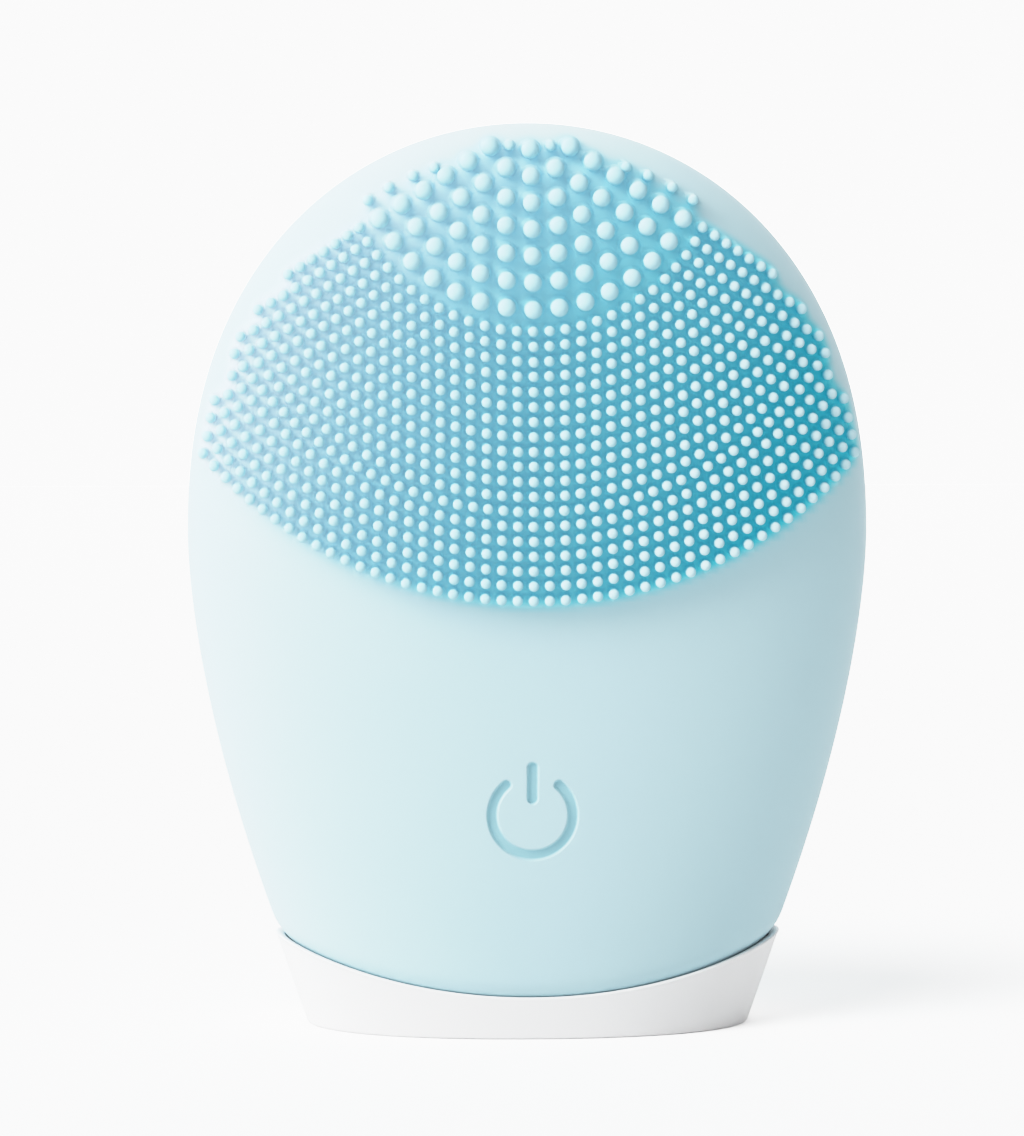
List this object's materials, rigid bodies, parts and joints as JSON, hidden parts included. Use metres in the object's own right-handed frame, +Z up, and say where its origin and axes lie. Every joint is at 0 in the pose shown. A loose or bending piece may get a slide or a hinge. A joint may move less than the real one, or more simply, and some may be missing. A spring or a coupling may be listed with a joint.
{
  "type": "facial cleansing brush",
  "caption": "Egg-shaped silicone facial cleansing brush with fine and large touch-points, a debossed power button and an eccentric motor, standing in a low charging stand.",
  "frame": {"origin": "middle of the stand's anti-slip pad, on the ground", "axes": "+Z up along the egg's height, -Y towards the bristles, +X to the right seen from the bristle side"},
  "size_m": [0.0802, 0.0361, 0.1063],
  "materials": {
    "stand_plastic": "satin white moulded plastic",
    "pad_rubber": "matte grey rubber",
    "screw_steel": "zinc-plated steel",
    "pcb_green": "solder-masked board",
    "chip_black": "moulded component black",
    "socket_steel": "nickel-plated shell",
    "coil_copper": "enamelled copper",
    "ferrite": "sintered dark grey",
    "wire_red": "insulated wire",
    "silicone": "soft satin pale aqua silicone",
    "shell_plastic": "moulded plastic",
    "chassis_plastic": "moulded plastic",
    "switch_plastic": "moulded plastic",
    "led_lens": "clear epoxy over white",
    "cell_foil": "laminated foil",
    "foam_tape": "foam tape",
    "motor_steel": "drawn steel can",
    "cap_nylon": "natural nylon",
    "clamp_plastic": "moulded plastic",
    "plunger_clear": "translucent light-guide plastic",
    "shaft_steel": "ground steel",
    "weight_alloy": "sintered heavy alloy"
  },
  "bodies": {
    "stand": {"stand_shell": "stand_plastic", "stand_bottom_cover": "stand_plastic", "stand_base_pad": "pad_rubber", "stand_screws": "screw_steel", "stand_pcb": "pcb_green", "stand_pcb_parts": "chip_black", "usb_socket": "socket_steel", "transmit_coil": "coil_copper", "transmit_ferrite": "ferrite", "transmit_leads": "coil_copper"},
    "handpiece": {"silicone_sleeve": "silicone", "upper_fine_bristles": "silicone", "lower_fine_bristles": "silicone", "large_bristles": "silicone", "front_shell": "shell_plastic", "rear_shell": "shell_plastic", "shell_screws": "screw_steel", "chassis": "chassis_plastic", "main_pcb": "pcb_green", "main_pcb_parts": "chip_black", "pcb_screws": "screw_steel", "tact_switch": "switch_plastic", "status_led": "led_lens", "battery_cell": "cell_foil", "battery_tape": "foam_tape", "battery_leads": "wire_red", "receive_coil": "coil_copper", "receive_ferrite": "ferrite", "receive_leads": "coil_copper", "motor_can": "motor_steel", "motor_end_cap": "cap_nylon", "motor_clamp": "clamp_plastic", "motor_clamp_screws": "screw_steel", "motor_leads": "wire_red"},
    "power_button": {"button_membrane": "silicone", "button_plunger": "plunger_clear", "switch_stem": "switch_plastic"},
    "motor_rotor": {"motor_shaft": "shaft_steel", "eccentric_weight": "weight_alloy"}
  },
  "joints": [
    {"name": "handpiece_lift", "type": "slide", "parent": "stand", "child": "handpiece", "axis": [0, 0, 1], "range_m": [0, 0.04]},
    {"name": "power_button_press", "type": "slide", "parent": "handpiece", "child": "power_button", "axis": [0, 1, 0], "range_m": [0, 0.0003]},
    {"name": "motor_spin", "type": "hinge", "parent": "handpiece", "child": "motor_rotor", "pos_m": [0, -0.007, 0.0752], "axis": [0, 0, 1], "continuous": true}
  ]
}
